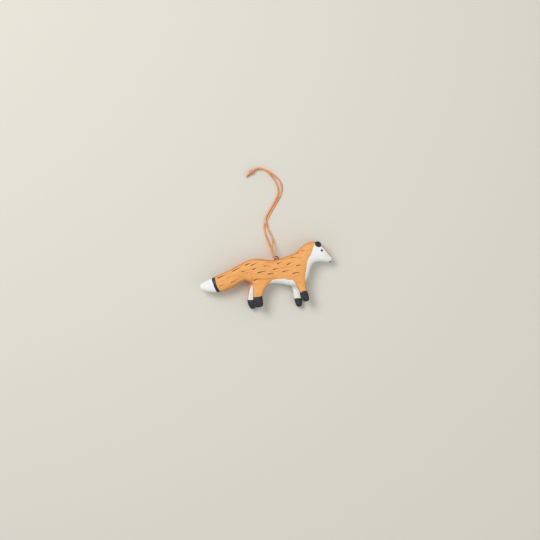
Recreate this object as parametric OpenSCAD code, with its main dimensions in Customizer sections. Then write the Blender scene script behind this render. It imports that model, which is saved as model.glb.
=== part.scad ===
// Hand-carved, hand-painted wooden fox that hangs by a cord loop from a screw eye in its back.
// It lies on its left flank: +X points to the nose, +Y to the back and +Z out of the right flank.
// The planed left flank rests on z = 0.

/* [Carving] */
// Thickness of the fox over hips and shoulders, before its left flank is planed flat
fox_thick = 18.6; // [17:0.1:20]
// Depth planed off the left flank, so that the fox lies still
planed = 0.3; // [0.2:0.05:0.6]
// How square the flanks are: 2 is an oval section, 4 is nearly a bar with rounded corners
flank_square = 3.1; // [2.4:0.1:4]
// How square the tail and the legs are
limb_square = 2.6; // [2.2:0.1:3.4]

/* [Legs and feet] */
// Thickness of one leg at the thigh
leg_thick = 7.8; // [6.5:0.1:8.2]
// Width of the saw kerf that parts the left legs from the right ones
leg_gap = 1.8; // [1.2:0.1:3]
// How much thicker a painted foot is than the thigh
foot_swell = 1.06; // [1:0.01:1.12]
// Radius worked on the soles of the feet
sole_round = 2.6; // [1.5:0.1:3]

/* [Head] */
// Diameter of an ear button
ear_d = 5.7; // [5:0.1:6.2]
// How far an ear button stands out from the head
ear_rise = 1.1; // [0.8:0.1:1.6]
// How far an ear leans with the slope of the head, in degrees
ear_lean = 24; // [16:1:32]
// Diameter of an eye bead
eye_d = 1.7; // [1.4:0.1:2.4]
// Depth of the socket that holds an eye bead
eye_depth = 1.4; // [1:0.1:2]
// Radius of the nose button
nose_r = 1.1; // [0.9:0.1:1.3]

/* [Screw eye] */
// Diameter through the middle of the ring's wire
ring_d = 3.6; // [3.4:0.1:4]
// Diameter of the ring's wire
wire_d = 0.8; // [0.7:0.1:1]
// Diameter of the threaded shank
shank_d = 1.6; // [1.2:0.1:2]
// Length of the shank below the ring, its point included
shank_len = 11; // [8:0.5:12]

/* [Cord] */
// Diameter of the round leather cord
cord_d = 1.5; // [1.2:0.1:1.6]

/* [Hidden] */

$fn = 32;
mid_z = fox_thick / 2 - planed;
leg_mid = (leg_gap + leg_thick) / 2;
far = 200;

// Sides of a section and rings between two rungs, for the trunk and for the limbs.
trunk_sides = 28;
limb_sides = 20;
trunk_steps = 2;
limb_steps = 2;
round_steps = 3;
// Share of the working radius that comes off an end, so that a small flat stays there.
end_share = 0.96;

// A rung is one section of the carving, where the outline in the photograph is easy to read:
// [first point x, y, opposite point x, y, thickness as a share of the whole].
// Trunk, from the tail's root to the muzzle: back first, then belly, chest, throat or chin.
trunk_rungs = [
    [-20.0, 12.1, -18.2, -5.0, 0.84],
    [-15.2, 14.2, -13.0, -7.4, 0.95],
    [-9.5, 15.2, -7.0, -8.3, 1.00],
    [-2.0, 14.7, 0.0, -8.1, 0.98],
    [5.6, 13.9, 7.5, -7.4, 0.93],
    [11.4, 14.7, 14.5, -7.9, 0.94],
    [16.8, 16.6, 20.5, -9.2, 0.98],
    [20.8, 18.4, 27.0, -9.8, 1.00],
    [24.4, 19.7, 33.0, -8.2, 0.98],
    [27.4, 21.4, 36.6, -4.6, 0.95],
    [30.0, 23.7, 38.8, 0.0, 0.91],
    [32.4, 26.1, 40.0, 4.8, 0.87],
    [35.6, 28.7, 41.8, 9.4, 0.83],
    [39.6, 30.4, 45.0, 11.8, 0.80],
    [44.4, 30.9, 48.8, 12.3, 0.77],
    [48.5, 29.2, 51.6, 12.2, 0.73],
    [51.8, 26.1, 53.6, 11.9, 0.66],
    [54.8, 22.8, 55.4, 11.8, 0.54],
    [57.2, 20.0, 57.0, 12.0, 0.43],
    [58.1, 18.4, 57.9, 12.3, 0.38]
];
muzzle_round = 1.7;

// Tail, from the root backwards: underside first, then the top.
tail_rungs = [
    [-18.2, -5.0, -20.0, 12.1, 0.84],
    [-22.8, -6.9, -25.6, 9.2, 0.82],
    [-28.0, -10.4, -31.0, 6.2, 0.83],
    [-33.6, -13.2, -37.0, 3.3, 0.83],
    [-39.0, -15.0, -42.2, 0.8, 0.80],
    [-42.8, -15.6, -46.4, -1.2, 0.75],
    [-46.0, -15.8, -49.2, -2.7, 0.70],
    [-49.4, -15.6, -51.6, -3.8, 0.64],
    [-53.8, -15.0, -54.7, -5.2, 0.55],
    [-56.9, -13.8, -57.2, -6.6, 0.44]
];
tip_round = 2.9;

// Legs, from inside the trunk down to the foot: front edge first, then the rear edge.
hind_right_rungs = [
    [4.4, -3.6, -13.2, -2.0, 0.94],
    [3.2, -7.4, -12.6, -6.2, 0.98],
    [0.6, -10.6, -12.1, -10.2, 0.97],
    [-1.5, -14.4, -11.9, -14.4, 0.93],
    [-2.9, -18.7, -11.9, -19.4, 0.90]
];
hind_left_rungs = [
    [1.6, -3.6, -14.6, -2.4, 0.94],
    [-0.4, -7.8, -15.5, -7.6, 0.98],
    [-4.2, -12.2, -15.8, -12.4, 0.97],
    [-7.0, -17.0, -16.5, -17.2, 0.93],
    [-8.1, -21.8, -17.2, -22.6, 0.90]
];
front_right_rungs = [
    [36.0, -2.6, 24.2, -2.2, 0.94],
    [36.3, -6.6, 26.0, -6.2, 0.98],
    [36.4, -10.4, 27.7, -10.4, 0.95],
    [37.3, -14.0, 30.3, -15.6, 0.90]
];
front_left_rungs = [
    [34.8, -3.0, 21.6, -3.2, 0.94],
    [35.0, -8.0, 22.4, -8.0, 0.98],
    [34.4, -12.6, 24.0, -13.2, 0.95],
    [33.2, -17.0, 24.9, -17.4, 0.92],
    [32.8, -20.5, 25.4, -21.2, 0.90]
];

// Feet, from the ankle down: toe side first, then the heel side.
hind_right_foot_rungs = [
    [-2.9, -18.7, -12.0, -19.4, 0.95],
    [-2.5, -22.4, -11.6, -23.0, 1.00],
    [-2.1, -26.2, -10.6, -27.0, 0.98]
];
hind_left_foot_rungs = [
    [-8.0, -21.8, -17.3, -22.6, 0.95],
    [-7.7, -25.2, -16.6, -25.8, 1.00],
    [-8.6, -27.9, -15.6, -28.5, 0.98]
];
front_right_foot_rungs = [
    [37.5, -14.0, 30.2, -15.7, 0.95],
    [38.9, -17.8, 30.9, -19.0, 1.00],
    [39.5, -20.8, 32.6, -21.9, 0.98]
];
front_left_foot_rungs = [
    [33.0, -20.5, 25.3, -21.2, 0.95],
    [33.5, -23.6, 26.1, -24.0, 1.00],
    [33.2, -26.1, 27.0, -26.6, 0.98]
];

// Paint lines, right through the fox: the white of face and chest lies in front of this one.
white_front = [
    [47.0, 34.0], [44.6, 29.8], [42.8, 25.6], [41.0, 20.0], [38.3, 14.9], [37.2, 11.0],
    [36.6, 5.8], [35.7, 1.2], [35.4, -2.4], [35.8, -5.6], [36.4, -14.0]
];
front_x = 70;
throat_y = 11.4;
// The white of the belly lies below this one.
white_belly = [
    [2.0, -12.0], [5.6, -5.2], [9.0, -3.7], [15.0, -3.1], [21.0, -4.2], [25.2, -5.2], [29.6, -12.0]
];
// The tail's black band lies between these two.
band_front = [
    [-46.4, 5.0], [-46.3, -1.0], [-45.5, -5.0], [-44.1, -9.6], [-42.0, -14.0], [-39.8, -18.0]
];
band_rear = [
    [-48.9, 5.0], [-48.9, -2.4], [-48.2, -6.2], [-46.7, -10.4], [-44.4, -14.8], [-42.4, -18.0]
];

// Places of the small pieces on the head, with how far out the head's skin is there, as a share
// of half the fox's thickness.
ear_at = [47.3, 28.0, 0.58];
eye_at = [50.5, 22.4, 0.685];
nose_at = [58.0, 12.8, 0];
// The way an ear leans, at right angles to the slope of the head, and how deep it's let in.
lean_about = [-0.8, 0.6, 0];
ear_depth = 1.8;
// How high the domes of an ear and an eye bead are, and how wide the nose is between its round ends.
ear_dome = 0.6;
eye_dome = 0.45;
nose_w = 1.4;

// The ring stands on the back just behind the shoulders. Its shank ends in a point.
ring_at = [9.6, 15.2];
point_len = 2;
point_d = 0.4;

// Cord, from the middle of the ring to the knot: [x, y, lift]. Lift 0 lies on the table and 1 is
// level with the ring. The front strand leaves the ring over the right flank, passes over the back
// strand and then runs under it up to the knot.
front_route = [
    [9.5, 15.3, 1.00], [9.5, 15.3, 1.05], [9.1, 15.3, 1.20], [8.1, 15.6, 1.33], [6.9, 16.4, 1.41],
    [6.0, 17.7, 1.45], [5.6, 19.5, 1.46], [5.5, 21.8, 1.39], [5.8, 24.6, 1.16], [6.0, 27.6, 0.79],
    [6.1, 30.6, 0.40], [5.8, 33.6, 0.12], [4.6, 37.0, 0.01], [2.9, 40.2, 0], [1.6, 43.0, 0.05],
    [0.8, 45.4, 0.14], [0.1, 47.6, 0.20], [-0.4, 49.8, 0.18], [-0.3, 52.0, 0.07], [0.7, 54.6, 0],
    [2.6, 57.8, 0], [4.6, 61.2, 0], [6.6, 64.6, 0], [8.6, 68.2, 0], [10.3, 72.2, 0],
    [11.3, 76.4, 0], [10.9, 80.6, 0], [9.2, 84.6, 0], [6.8, 88.2, 0], [4.2, 91.6, 0],
    [1.2, 94.6, 0], [-2.2, 96.6, 0], [-5.6, 97.3, 0.01], [-8.4, 97.1, 0.03], [-10.2, 96.4, 0.05],
    [-11.35, 95.5, 0.06]
];
back_route = [
    [9.5, 15.3, 1.00], [9.5, 15.3, 0.95], [9.1, 15.3, 0.80], [8.1, 15.6, 0.67], [6.9, 16.4, 0.59],
    [6.0, 17.7, 0.55], [5.3, 19.5, 0.52], [4.8, 21.8, 0.47], [4.1, 24.8, 0.36], [3.0, 28.0, 0.20],
    [1.8, 31.4, 0.07], [0.5, 35.0, 0.01], [-0.7, 38.6, 0], [-1.4, 42.0, 0], [-1.4, 45.0, 0],
    [-0.7, 47.6, 0], [0.6, 50.2, 0], [1.9, 52.8, 0], [3.8, 56.4, 0], [5.9, 60.2, 0],
    [8.0, 63.8, 0], [10.2, 67.4, 0], [12.3, 71.2, 0], [13.9, 75.4, 0], [14.6, 79.8, 0],
    [13.9, 83.6, 0], [11.6, 87.2, 0], [8.8, 90.0, 0.03], [5.8, 92.4, 0.12], [2.6, 94.6, 0.185],
    [-0.8, 96.3, 0.19], [-4.4, 97.3, 0.19], [-8.0, 97.2, 0.22], [-10.2, 96.4, 0.25],
    [-11.35, 95.5, 0.255]
];
long_tail_route = [
    [-14.65, 92.9, 0.255], [-15.6, 92.2, 0.24], [-16.8, 91.0, 0.14], [-17.6, 89.6, 0.01]
];
short_tail_route = [
    [-14.65, 92.9, 0.06], [-15.1, 92.3, 0.04], [-15.3, 91.4, 0.02], [-15.2, 90.5, 0]
];
cord_sides = 8;

// Knot: its middle, the way it points and its length along the doubled cord. The two strands in it
// lie strand_gap apart, one above the other, inside wraps of diameter wrap_d that lean by wrap_slant.
knot_at = [-13, 94.2];
knot_turn = 38;
knot_len = 4.2;
strand_gap = 1.6;
wrap_d = 2.6;
wrap_step = 1;
wrap_slant = 14;

// A point between b and c on the smooth curve through a, b, c and d.
function between(a, b, c, d, t) =
    (2 * b + (c - a) * t + (2 * a - 5 * b + 4 * c - d) * t * t + (3 * b - a - 3 * c + d) * t * t * t) / 2;

// The list with steps - 1 more entries on a smooth curve between each two.
function smooth(list, steps) = [
    for (i = [0 : len(list) - 2], s = [0 : steps - 1])
        between(
            list[max(i - 1, 0)], list[i], list[i + 1], list[min(i + 2, len(list) - 1)], s / steps
        ),
    list[len(list) - 1]
];

// A rung drawn in by cut on every side and moved on by shift along the form.
function worked_rung(r, thick, cut, shift) =
    let (
        first = [r[0], r[1]],
        last = [r[2], r[3]],
        up = (first - last) / norm(first - last),
        on = [up.y, -up.x] * shift,
        a = first - up * cut + on,
        b = last + up * cut + on
    )
    [a.x, a.y, b.x, b.y, r[4] - 2 * cut / thick];

// The rungs with their last end worked round at radius r.
function round_end(rungs, thick, r) = [
    each rungs,
    for (s = [1 : round_steps])
        let (a = 90 * s / round_steps)
        worked_rung(rungs[len(rungs) - 1], thick, r * (1 - cos(a)) * end_share, r * sin(a))
];

// A side of a section: an oval with squared shoulders, from -1 to 1.
function squared(v, square) = sign(v) * pow(abs(v), 2 / square);

// One section's points: a point that would lie below the table is planed up to it.
function section(r, thick, mid, square, sides) = [
    for (k = [0 : sides - 1])
        let (
            a = 360 * k / sides,
            share = (1 + squared(cos(a), square)) / 2,
            z = mid + squared(sin(a), square) * r[4] * thick / 2
        )
        [r[2] + (r[0] - r[2]) * share, r[3] + (r[1] - r[3]) * share, max(z, 0)]
];

// Faces that join rings of points, and a cap at each end.
function skin_faces(rings, sides) = [
    [for (k = [0 : sides - 1]) k],
    for (i = [0 : rings - 2], k = [0 : sides - 1])
        let (
            a = i * sides + k,
            b = i * sides + (k + 1) % sides
        )
        each [[a, a + sides, b + sides], [a, b + sides, b]],
    [for (k = [sides - 1 : -1 : 0]) (rings - 1) * sides + k]
];

// A carved form through its rungs, planed flat where it would reach below the table.
module loft(rungs, thick, mid, square, sides) {
    polyhedron(
        points = [for (r = rungs) each section(r, thick, mid, square, sides)],
        faces = skin_faces(len(rungs), sides),
        convexity = 6
    );
}

// Tangents of a route, and at each point a normal that turns no more than the route does.
function tangent(p, i) =
    let (d = p[min(i + 1, len(p) - 1)] - p[max(i - 1, 0)])
    d / norm(d);
function level(v, t) =
    let (w = v - (v * t) * t)
    w / norm(w);
function normals(p, first) = [
    for (i = 0, n = level(first, tangent(p, 0)); i < len(p);
         i = i + 1, n = i < len(p) ? level(n, tangent(p, i)) : n)
        n
];

// A cord of cord_sides sides along a route of [x, y, lift].
module cord(route) {
    path = [for (p = route) [p.x, p.y, cord_d / 2 + p.z * (mid_z - cord_d / 2)]];
    side = normals(path, [1, 0, 0]);
    color("peru")
        polyhedron(
            points = [
                for (i = [0 : len(path) - 1], k = [0 : cord_sides - 1])
                    let (
                        a = 360 * k / cord_sides,
                        t = tangent(path, i),
                        n = side[i]
                    )
                    path[i] + (n * cos(a) + cross(t, n) * sin(a)) * cord_d / 2
            ],
            faces = skin_faces(len(path), cord_sides),
            convexity = 6
        );
}

// The trunk, neck and head as one form, before paint lines and seats part it.
module trunk_form() {
    loft(
        round_end(smooth(trunk_rungs, trunk_steps), fox_thick, muzzle_round),
        fox_thick, mid_z, flank_square, trunk_sides
    );
}

// The whole tail, from its root to its tip.
module tail_form() {
    loft(
        round_end(smooth(tail_rungs, limb_steps), fox_thick, tip_round),
        fox_thick, mid_z, limb_square, trunk_sides
    );
}

// Everything behind a line across the tail.
module zone_behind(line) {
    linear_extrude(far, center = true)
        polygon([each line, [-far, -18], [-far, 5]]);
}

// Everything in front of the white face's paint line, from y = low up to y = high.
module white_front_zone(low, high) {
    linear_extrude(far, center = true)
        intersection() {
            polygon([each white_front, [front_x, -14], [front_x, 34]]);
            translate([0, low])
                square([far, high - low]);
        }
}

module white_belly_zone() {
    linear_extrude(far, center = true)
        polygon(white_belly);
}

// A leg on one side, ending where it enters the trunk.
module leg(rungs, side) {
    color("sandybrown")
        difference() {
            loft(smooth(rungs, limb_steps), leg_thick, mid_z + side * leg_mid, limb_square, limb_sides);
            trunk_form();
        }
}

module foot(rungs, side) {
    thick = leg_thick * foot_swell;
    color("darkslategray")
        loft(
            round_end(smooth(rungs, limb_steps), thick, sole_round),
            thick, mid_z + side * leg_mid, limb_square, limb_sides
        );
}

// Puts a small piece on the head's skin, looking out of the right flank or the left one.
module at_head(place, side) {
    translate([place.x, place.y, mid_z])
        mirror([0, 0, side < 0 ? 1 : 0])
            translate([0, 0, place.z * fox_thick / 2])
                children();
}

// The ring, which is screwed in until it sinks a little into the back.
module ring() {
    translate([ring_at.x, ring_at.y, mid_z])
        rotate_extrude()
            translate([ring_d / 2, 0])
                circle(d = wire_d);
}

// The shank and its point. Like the ring, it also cuts the hollow that it fills.
module shank() {
    translate([ring_at.x, ring_at.y - ring_d / 2, mid_z])
        rotate([90, 0, 0]) {
            cylinder(d = shank_d, h = shank_len - point_len);
            translate([0, 0, shank_len - point_len])
                cylinder(d1 = shank_d, d2 = point_d, h = point_len);
        }
}

module body() {
    color("sandybrown")
        difference() {
            trunk_form();
            white_front_zone(-far / 2, far / 2);
            white_belly_zone();
            ring();
            shank();
        }
}

module face() {
    color("whitesmoke")
        difference() {
            intersection() {
                trunk_form();
                white_front_zone(throat_y, far);
            }
            for (side = [-1, 1])
                at_head(eye_at, side)
                    translate([0, 0, -eye_depth])
                        cylinder(d = eye_d, h = far);
        }
}

module chest_bib() {
    color("whitesmoke")
        intersection() {
            trunk_form();
            white_front_zone(-far / 2, throat_y);
        }
}

module belly_panel() {
    color("whitesmoke")
        intersection() {
            trunk_form();
            white_belly_zone();
        }
}

module tail() {
    color("sandybrown")
        difference() {
            tail_form();
            zone_behind(band_front);
        }
}

module tail_band() {
    color("darkslategray")
        difference() {
            intersection() {
                tail_form();
                zone_behind(band_front);
            }
            zone_behind(band_rear);
        }
}

module tail_tip() {
    color("whitesmoke")
        intersection() {
            tail_form();
            zone_behind(band_rear);
        }
}

// A round bar from z = 0 up, whose top is domed by dome.
module domed(d, h, dome) {
    ball_r = (d * d / 4 + dome * dome) / (2 * dome);
    intersection() {
        cylinder(d = d, h = h);
        translate([0, 0, h - ball_r])
            sphere(r = ball_r);
    }
}

// A low domed button that leans with the slope of the head.
module ear(side) {
    color("darkslategray")
        difference() {
            at_head(ear_at, side)
                rotate(ear_lean, lean_about)
                    translate([0, 0, -ear_depth])
                        domed(ear_d, ear_depth + ear_rise, ear_dome);
            trunk_form();
        }
}

// A bead with a domed face, pressed into a drilled socket.
module eye(side) {
    color("black")
        at_head(eye_at, side)
            translate([0, 0, -eye_depth])
                domed(eye_d, eye_depth + eye_dome, eye_dome);
}

// A round-ended pad across the tip of the muzzle.
module nose() {
    color("darkslategray")
        difference() {
            translate([nose_at.x, nose_at.y, mid_z]) {
                cylinder(r = nose_r, h = nose_w, center = true);
                for (side = [-1, 1])
                    translate([0, 0, side * nose_w / 2])
                        sphere(r = nose_r);
            }
            trunk_form();
        }
}

module screw_eye() {
    color("dimgray") {
        ring();
        shank();
    }
}

// An overhand knot: the doubled cord runs through it inside three slanting wraps.
module cord_knot() {
    color("peru")
        translate([knot_at.x, knot_at.y, (wrap_d + cord_d) / 2])
            rotate([0, 0, knot_turn]) {
                for (side = [-1, 1])
                    translate([0, 0, side * strand_gap / 2])
                        rotate([0, 90, 0])
                            cylinder(d = cord_d, h = knot_len, center = true);
                for (turn = [-1, 0, 1])
                    translate([turn * wrap_step, 0, 0])
                        rotate([0, 90, turn * wrap_slant])
                            rotate_extrude()
                                translate([wrap_d / 2, 0])
                                    circle(d = cord_d);
            }
}

module cord_tails() {
    cord(long_tail_route);
    cord(short_tail_route);
}

body();
face();
chest_bib();
belly_panel();
tail();
tail_band();
tail_tip();
leg(hind_right_rungs, 1);  // hind_leg_right
leg(hind_left_rungs, -1);  // hind_leg_left
leg(front_right_rungs, 1);  // front_leg_right
leg(front_left_rungs, -1);  // front_leg_left
foot(hind_right_foot_rungs, 1);  // hind_foot_right
foot(hind_left_foot_rungs, -1);  // hind_foot_left
foot(front_right_foot_rungs, 1);  // front_foot_right
foot(front_left_foot_rungs, -1);  // front_foot_left
ear(1);  // ear_right
ear(-1);  // ear_left
eye(1);  // eye_right
eye(-1);  // eye_left
nose();
screw_eye();
cord(front_route);  // cord_front_strand
cord(back_route);  // cord_back_strand
cord_knot();
cord_tails();
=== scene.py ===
# %% [markdown]
# # A carved fox on a leather cord
#
# The real ornament is a little fox: sawn from a board about 19 mm thick, whittled round with a knife,
# marked with short gouge cuts and painted by hand in orange, white and black. A dark screw eye in its
# back holds a loop of round tan leather cord, tied off with one overhand knot. It lies on its left
# flank, so straight up (+Z) looks at its right flank, +X points to its nose and +Y to its back.
#
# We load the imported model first. It says where every part is, so nothing has to be fitted.

# %% Load the frame
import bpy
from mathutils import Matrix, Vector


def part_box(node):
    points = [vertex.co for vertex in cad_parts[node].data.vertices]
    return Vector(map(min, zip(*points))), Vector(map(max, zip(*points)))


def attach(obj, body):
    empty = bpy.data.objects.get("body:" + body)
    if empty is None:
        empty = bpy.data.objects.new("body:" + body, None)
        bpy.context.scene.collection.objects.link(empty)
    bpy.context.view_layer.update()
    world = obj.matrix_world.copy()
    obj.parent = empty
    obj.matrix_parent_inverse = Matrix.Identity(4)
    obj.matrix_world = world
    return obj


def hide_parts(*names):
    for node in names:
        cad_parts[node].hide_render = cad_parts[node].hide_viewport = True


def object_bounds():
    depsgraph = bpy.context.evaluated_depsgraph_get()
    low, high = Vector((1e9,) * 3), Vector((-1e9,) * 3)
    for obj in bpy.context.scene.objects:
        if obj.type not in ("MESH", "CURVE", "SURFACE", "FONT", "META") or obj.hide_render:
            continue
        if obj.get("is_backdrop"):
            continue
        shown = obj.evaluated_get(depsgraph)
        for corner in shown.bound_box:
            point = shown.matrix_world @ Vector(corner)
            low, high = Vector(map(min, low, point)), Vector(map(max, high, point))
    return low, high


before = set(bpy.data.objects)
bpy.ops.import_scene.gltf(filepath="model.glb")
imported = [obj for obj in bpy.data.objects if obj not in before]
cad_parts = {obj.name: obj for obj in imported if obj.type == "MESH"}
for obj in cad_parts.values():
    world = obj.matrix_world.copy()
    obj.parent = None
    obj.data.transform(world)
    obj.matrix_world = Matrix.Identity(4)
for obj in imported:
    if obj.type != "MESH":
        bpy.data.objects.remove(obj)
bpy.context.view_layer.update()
print("the frame holds", len(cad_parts), "nodes")

# %% Tools and units
import math
import random

import bpy
import numpy as np
from mathutils import Matrix, Vector

MM = 0.001
scene = bpy.context.scene
chance = random.Random(7)

# %% [markdown]
# ## Camera
#
# The photograph looks straight down from well above the table. Its 540 pixels cover about 490 mm, so
# one pixel is 0.907 mm of the table, and the fox is only a quarter of its width. A long lens from
# more than a metre up keeps the sides of the fox out of sight, as they are there.

# %% A camera straight above
PHOTO_SIDE_PX = 540
MM_PER_PX = 0.907
SHARP_HEIGHT_MM = 8
FOX_CENTRE_PX = (265.9, 275.25)
LENS_MM = 85
SENSOR_MM = 36

view_width = PHOTO_SIDE_PX * MM_PER_PX
camera_height = SHARP_HEIGHT_MM + view_width * LENS_MM / SENSOR_MM
look_x = (PHOTO_SIDE_PX / 2 - FOX_CENTRE_PX[0]) * MM_PER_PX
look_y = (FOX_CENTRE_PX[1] - PHOTO_SIDE_PX / 2) * MM_PER_PX

lens = bpy.data.cameras.new("photo_camera")
lens.lens = LENS_MM
lens.sensor_width = SENSOR_MM
camera = bpy.data.objects.new("photo_camera", lens)
camera.location = (look_x * MM, look_y * MM, camera_height * MM)
scene.collection.objects.link(camera)
scene.camera = camera
print(f"the camera is {camera_height:.0f} mm up and sees {view_width:.0f} mm of table")

# %% [markdown]
# ## Small helpers
#
# Blender's operators act on whatever is selected. So one helper picks an object and nothing else, and
# the others start with it: they open a piece in edit mode, join pieces, turn a curve into a mesh or
# apply a modifier. The rest smooth a line, and read and place the points of a mesh in millimetres.

# %% Pick, open, join, apply
def pick(piece):
    bpy.ops.object.select_all(action="DESELECT")
    piece.select_set(True)
    bpy.context.view_layer.objects.active = piece


def open_all(piece):
    """Opens a piece in edit mode, with all of it selected."""
    pick(piece)
    bpy.ops.object.mode_set(mode="EDIT")
    bpy.ops.mesh.select_all(action="SELECT")


def close():
    """Leaves edit mode."""
    bpy.ops.object.mode_set(mode="OBJECT")


def join(parts, name):
    """Makes several meshes one piece."""
    pick(parts[0])
    for part in parts:
        part.select_set(True)
    bpy.ops.object.join()
    parts[0].name = name
    return parts[0]


def as_mesh(curve):
    """Turns a curve into a mesh."""
    pick(curve)
    bpy.ops.object.convert(target="MESH")
    return bpy.context.object


def work(piece, kind, **settings):
    """Adds a modifier, sets it and applies it."""
    pick(piece)
    modifier = piece.modifiers.new(kind.title(), kind)
    for name, value in settings.items():
        setattr(modifier, name, value)
    bpy.ops.object.modifier_apply(modifier=modifier.name)


# %% Smooth a line
def smooth_curve(points, steps):
    """Points on a smooth curve through the given ones, steps to each stretch."""
    p = np.array(points, float)
    path = []
    for i in range(len(p) - 1):
        a, b, c, d = p[max(i - 1, 0)], p[i], p[i + 1], p[min(i + 2, len(p) - 1)]
        for t in np.arange(steps) / steps:
            path.append((2 * b + (c - a) * t + (2 * a - 5 * b + 4 * c - d) * t**2
                         + (3 * b - a - 3 * c + d) * t**3) / 2)
    path.append(p[-1])
    return np.array(path)


# %% Read and place points
def points_of(piece):
    """A piece's vertices, in millimetres."""
    found = np.zeros(len(piece.data.vertices) * 3)
    piece.data.vertices.foreach_get("co", found)
    return found.reshape(-1, 3) / MM


def normals_of(piece):
    """The normals at a piece's vertices."""
    found = np.zeros(len(piece.data.vertices) * 3)
    piece.data.vertices.foreach_get("normal", found)
    return found.reshape(-1, 3)


def place_points(piece, points):
    piece.data.vertices.foreach_set("co", (points * MM).ravel())
    piece.data.update()


def give_field(piece, name, values):
    """Stores a number or a vector for each vertex, which a material can read."""
    kind, key = ("FLOAT", "value") if values.ndim == 1 else ("FLOAT_VECTOR", "vector")
    field = piece.data.attributes.new(name, kind, "POINT")
    field.data.foreach_set(key, values.astype(np.float32).ravel())


# %% [markdown]
# ## The cord
#
# The cord is settled before the rest, because it reaches furthest from the fox. It is one piece of
# round leather, 1.5 mm thick, doubled through the ring. From above, one strand leaves the ring over
# the right flank and the other one under it. They cross once, run side by side round the bend, and
# lie one on the other where they reach the knot. A curve with a round bevel suits a cord better than
# a mesh would: it keeps its thickness in every bend, and its length is measured along its path. The
# routes are the ones of the construction: [x, y, lift], where lift 0 lies on the table and lift 1 is
# level with the ring.

# %% Routes of the two strands
# Sizes are in millimetres unless a note says otherwise, and MID_Z is the height of the fox's middle plane
# over the table.
CORD_D = 1.5
MID_Z = 9.0
ROUTE_STEPS = 5
EASING_PASSES = 3
SHORTEST_STEP = 0.02

FRONT_ROUTE = [
    [9.5, 15.3, 1.00], [9.5, 15.3, 1.05], [9.1, 15.3, 1.20], [8.1, 15.6, 1.33], [6.9, 16.4, 1.41],
    [6.0, 17.7, 1.43], [5.6, 19.5, 1.41], [5.5, 21.8, 1.29], [5.8, 24.6, 1.03], [6.0, 27.6, 0.71],
    [6.1, 30.6, 0.40], [5.8, 33.6, 0.17], [4.6, 37.0, 0.05], [2.9, 40.2, 0.01], [1.6, 43.0, 0.05],
    [0.8, 45.4, 0.14], [0.1, 47.6, 0.20], [-0.4, 49.8, 0.18], [-0.3, 52.0, 0.07], [0.7, 54.6, 0],
    [2.6, 57.8, 0], [4.6, 61.2, 0], [6.6, 64.6, 0], [8.6, 68.2, 0], [10.3, 72.2, 0],
    [11.3, 76.4, 0], [10.9, 80.6, 0], [9.2, 84.6, 0], [6.8, 88.2, 0], [4.2, 91.6, 0],
    [1.2, 94.6, 0], [-2.2, 96.6, 0], [-5.6, 97.3, 0.01], [-8.4, 97.1, 0.03], [-10.2, 96.4, 0.05],
    [-11.35, 95.5, 0.06], [-12.3, 94.75, 0.1]
]
BACK_ROUTE = [
    [9.5, 15.3, 1.00], [9.5, 15.3, 0.95], [9.1, 15.3, 0.80], [8.1, 15.6, 0.67], [6.9, 16.4, 0.59],
    [6.0, 17.7, 0.55], [5.3, 19.5, 0.52], [4.8, 21.8, 0.47], [4.1, 24.8, 0.36], [3.0, 28.0, 0.20],
    [1.8, 31.4, 0.07], [0.5, 35.0, 0.01], [-0.7, 38.6, 0], [-1.4, 42.0, 0], [-1.4, 45.0, 0],
    [-0.7, 47.6, 0], [0.6, 50.2, 0], [1.9, 52.8, 0], [3.8, 56.4, 0], [5.9, 60.2, 0],
    [8.0, 63.8, 0], [10.2, 67.4, 0], [12.3, 71.2, 0], [13.9, 75.4, 0], [14.6, 79.8, 0],
    [13.9, 83.6, 0], [11.6, 87.2, 0], [8.8, 90.0, 0.03], [5.8, 92.4, 0.12], [2.6, 94.6, 0.185],
    [-0.8, 96.3, 0.19], [-4.4, 97.3, 0.19], [-8.0, 97.2, 0.22], [-10.2, 96.4, 0.25],
    [-11.35, 95.5, 0.255], [-12.3, 94.75, 0.22]
]
LONG_TAIL_ROUTE = [
    [-13.6, 93.7, 0.22], [-14.65, 92.9, 0.255], [-15.6, 92.2, 0.24],
    [-16.8, 91.0, 0.14], [-17.6, 89.6, 0.01]
]
SHORT_TAIL_ROUTE = [
    [-13.6, 93.7, 0.1], [-14.65, 92.9, 0.06], [-15.1, 92.3, 0.04],
    [-15.3, 91.4, 0.02], [-15.2, 90.5, 0]
]


def lay_out(route):
    """A route's smooth path in metres, never lower than the table allows."""
    path = smooth_curve(route, ROUTE_STEPS)
    for _ in range(EASING_PASSES):
        path[1:-1] = (path[:-2] + 2 * path[1:-1] + path[2:]) / 4
    path[:, 2] = CORD_D / 2 + np.maximum(path[:, 2], 0) * (MID_Z - CORD_D / 2)
    step = np.linalg.norm(np.diff(path, axis=0), axis=1)
    path = path[np.concatenate([[True], step > SHORTEST_STEP])]
    return path * MM


def length_of(path):
    return float(np.linalg.norm(np.diff(path, axis=0), axis=1).sum())


# %% Round bars along paths
def tube(name, path, thick, roundness=6):
    """A round bar along a path: a curve with a bevel."""
    curve = bpy.data.curves.new(name, "CURVE")
    curve.dimensions = "3D"
    curve.bevel_depth = thick / 2
    curve.bevel_resolution = roundness
    curve.use_fill_caps = True
    spline = curve.splines.new("POLY")
    spline.points.add(len(path) - 1)
    spline.points.foreach_set("co", np.column_stack([path, np.ones(len(path))]).ravel())
    spline.use_smooth = True
    piece = bpy.data.objects.new(name, curve)
    scene.collection.objects.link(piece)
    return piece


strands = {}
for name, route in (("cord_front", FRONT_ROUTE), ("cord_back", BACK_ROUTE)):
    path = lay_out(route)
    strands[name] = tube(name, path, CORD_D * MM)
    strands[name]["length"] = length_of(path)
    print(f"{name}: {length_of(path) / MM:.1f} mm of cord")

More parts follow.
